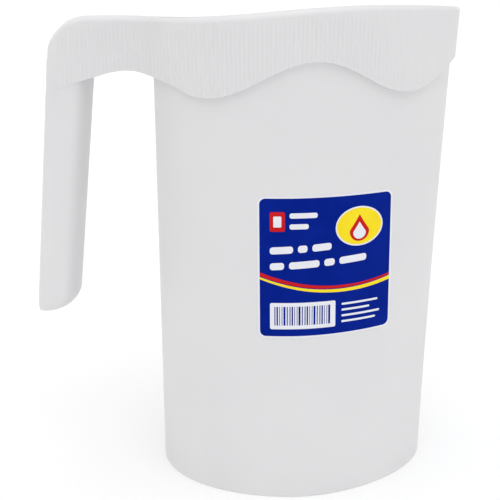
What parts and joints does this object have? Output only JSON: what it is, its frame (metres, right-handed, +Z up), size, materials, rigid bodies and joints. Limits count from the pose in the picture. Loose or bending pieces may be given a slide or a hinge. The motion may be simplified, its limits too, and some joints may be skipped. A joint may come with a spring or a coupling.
{
  "type": "milk bag pitcher",
  "caption": "Tall egg-plan plastic pitcher for a bag of milk, with a thick wavy rim band, a free-hanging handle moulded in one with it and a square printed label on the side.",
  "frame": {"origin": "centre of the bounding box, at the level of the flat base", "axes": "+Z up, +X towards the pouring nose, handle at -X, label on the -Y side"},
  "size_m": [0.2084, 0.1118, 0.2293],
  "materials": {
    "white_plastic": "smooth satin moulded plastic, finely ribbed round the rim band",
    "label_print": "glossy printed film, mostly deep blue with a white border and a red and yellow stripe"
  },
  "bodies": {
    "root": {"pitcher": "white_plastic", "label": "label_print"}
  },
  "joints": []
}
